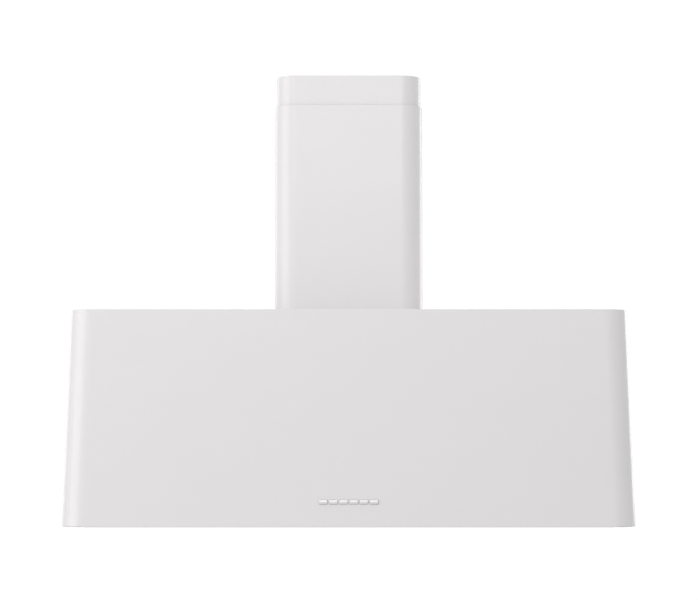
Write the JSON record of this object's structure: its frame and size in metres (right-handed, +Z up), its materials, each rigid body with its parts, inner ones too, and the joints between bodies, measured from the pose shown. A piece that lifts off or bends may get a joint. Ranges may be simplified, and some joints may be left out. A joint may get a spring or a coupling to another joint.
{
  "type": "island range hood",
  "caption": "Ceiling-hung range hood: tapered box canopy with push buttons, filters and lamps, blower inside, and a telescopic square chimney.",
  "frame": {"origin": "centre of the ceiling plate's top face, in the ceiling plane", "axes": "+Z up, +X along the canopy's width, the buttons face -Y"},
  "size_m": [1, 0.651, 0.821],
  "materials": {
    "white_powder_coat": "gloss white powder coat",
    "galvanised_steel": "zinc coated sheet",
    "stainless_steel": "brushed",
    "zinc_plated_fasteners": "bright zinc",
    "grey_plastic": "fine texture",
    "button_chrome": "satin chrome",
    "black_rubber": "matt",
    "grey_foam": "closed-cell foam",
    "motor_paint": "black paint",
    "aluminium": "anodised",
    "frosted_glass": "frosted",
    "circuit_board": "solder mask",
    "cable_sheath": "grey sheath",
    "magnet_ferrite": "sintered"
  },
  "bodies": {
    "ceiling_frame": {"ceiling_plate": "galvanised_steel", "upper_angles": "galvanised_steel", "upper_tie_frame": "galvanised_steel", "upper_chimney": "white_powder_coat", "upper_chimney_screws": "zinc_plated_fasteners", "frame_clamp_screws": "zinc_plated_fasteners"},
    "hood": {"lower_angles": "galvanised_steel", "lower_tie_frame": "galvanised_steel", "frame_base": "galvanised_steel", "frame_base_screws": "zinc_plated_fasteners", "canopy_skin": "white_powder_coat", "canopy_top_plate": "white_powder_coat", "cable_grommet": "black_rubber", "outlet_collar": "grey_plastic", "damper_pin": "zinc_plated_fasteners", "blower_housing_left": "galvanised_steel", "blower_housing_right": "galvanised_steel", "outlet_seal": "grey_foam", "rubber_mounts": "black_rubber", "blower_screws": "zinc_plated_fasteners", "motor_body": "motor_paint", "motor_bracket": "galvanised_steel", "bottom_pan": "white_powder_coat", "pan_brackets": "galvanised_steel", "pan_screws": "zinc_plated_fasteners", "button_guide": "grey_plastic", "switch_board": "circuit_board", "tact_switches": "grey_plastic", "electronics_box": "grey_plastic", "electronics_cover": "grey_plastic", "power_board": "circuit_board", "terminal_block": "grey_plastic", "motor_cable": "cable_sheath", "control_cable": "cable_sheath", "lamp_cables": "cable_sheath", "cable_clips": "grey_plastic", "filter_magnets": "magnet_ferrite", "magnet_brackets": "galvanised_steel", "lamp_rings": "aluminium", "lamp_lenses": "frosted_glass", "lamp_modules": "aluminium", "lamp_clips": "stainless_steel"},
    "lower_cover": {"lower_chimney": "white_powder_coat"},
    "rotor": {"impeller": "aluminium", "impeller_blades": "aluminium", "motor_shaft": "stainless_steel"},
    "damper_left": {"damper_flap_left": "grey_plastic"},
    "damper_right": {"damper_flap_right": "grey_plastic"},
    "filter_left": {"filter_frame_left": "stainless_steel", "filter_baffles_left": "stainless_steel"},
    "filter_middle": {"filter_frame_middle": "stainless_steel", "filter_baffles_middle": "stainless_steel"},
    "filter_right": {"filter_frame_right": "stainless_steel", "filter_baffles_right": "stainless_steel"},
    "push_button_1": {"button_1": "button_chrome"},
    "push_button_2": {"button_2": "button_chrome"},
    "push_button_3": {"button_3": "button_chrome"},
    "push_button_4": {"button_4": "button_chrome"},
    "push_button_5": {"button_5": "button_chrome"},
    "push_button_6": {"button_6": "button_chrome"}
  },
  "joints": [
    {"name": "height_adjust", "type": "slide", "parent": "ceiling_frame", "child": "hood", "axis": [0, 0, -1], "range_m": [-0.04, 0.25]},
    {"name": "lower_chimney_lift", "type": "slide", "parent": "hood", "child": "lower_cover", "axis": [0, 0, 1], "range_m": [0, 0.045]},
    {"name": "impeller_spin", "type": "hinge", "parent": "hood", "child": "rotor", "pos_m": [0, -0.09, -0.608], "axis": [1, 0, 0], "continuous": true},
    {"name": "damper_left_swing", "type": "hinge", "parent": "hood", "child": "damper_left", "pos_m": [0, 0, -0.43], "axis": [0, 1, 0], "range_deg": [0, 80]},
    {"name": "damper_right_swing", "type": "hinge", "parent": "hood", "child": "damper_right", "pos_m": [0, 0, -0.43], "axis": [0, -1, 0], "range_deg": [0, 80]},
    {"name": "filter_left_drop", "type": "hinge", "parent": "hood", "child": "filter_left", "pos_m": [-0.3, 0.209, -0.798], "axis": [1, 0, 0], "range_deg": [0, 75]},
    {"name": "filter_middle_drop", "type": "hinge", "parent": "hood", "child": "filter_middle", "pos_m": [0, 0.209, -0.798], "axis": [1, 0, 0], "range_deg": [0, 75]},
    {"name": "filter_right_drop", "type": "hinge", "parent": "hood", "child": "filter_right", "pos_m": [0.3, 0.209, -0.798], "axis": [1, 0, 0], "range_deg": [0, 75]},
    {"name": "button_1_press", "type": "slide", "parent": "hood", "child": "push_button_1", "axis": [0, 0.9995, -0.0304], "range_m": [0, 0.0012], "stiffness_N_per_m": 800},
    {"name": "button_2_press", "type": "slide", "parent": "hood", "child": "push_button_2", "axis": [0, 0.9995, -0.0304], "range_m": [0, 0.0012], "stiffness_N_per_m": 800},
    {"name": "button_3_press", "type": "slide", "parent": "hood", "child": "push_button_3", "axis": [0, 0.9995, -0.0304], "range_m": [0, 0.0012], "stiffness_N_per_m": 800},
    {"name": "button_4_press", "type": "slide", "parent": "hood", "child": "push_button_4", "axis": [0, 0.9995, -0.0304], "range_m": [0, 0.0012], "stiffness_N_per_m": 800},
    {"name": "button_5_press", "type": "slide", "parent": "hood", "child": "push_button_5", "axis": [0, 0.9995, -0.0304], "range_m": [0, 0.0012], "stiffness_N_per_m": 800},
    {"name": "button_6_press", "type": "slide", "parent": "hood", "child": "push_button_6", "axis": [0, 0.9995, -0.0304], "range_m": [0, 0.0012], "stiffness_N_per_m": 800}
  ]
}
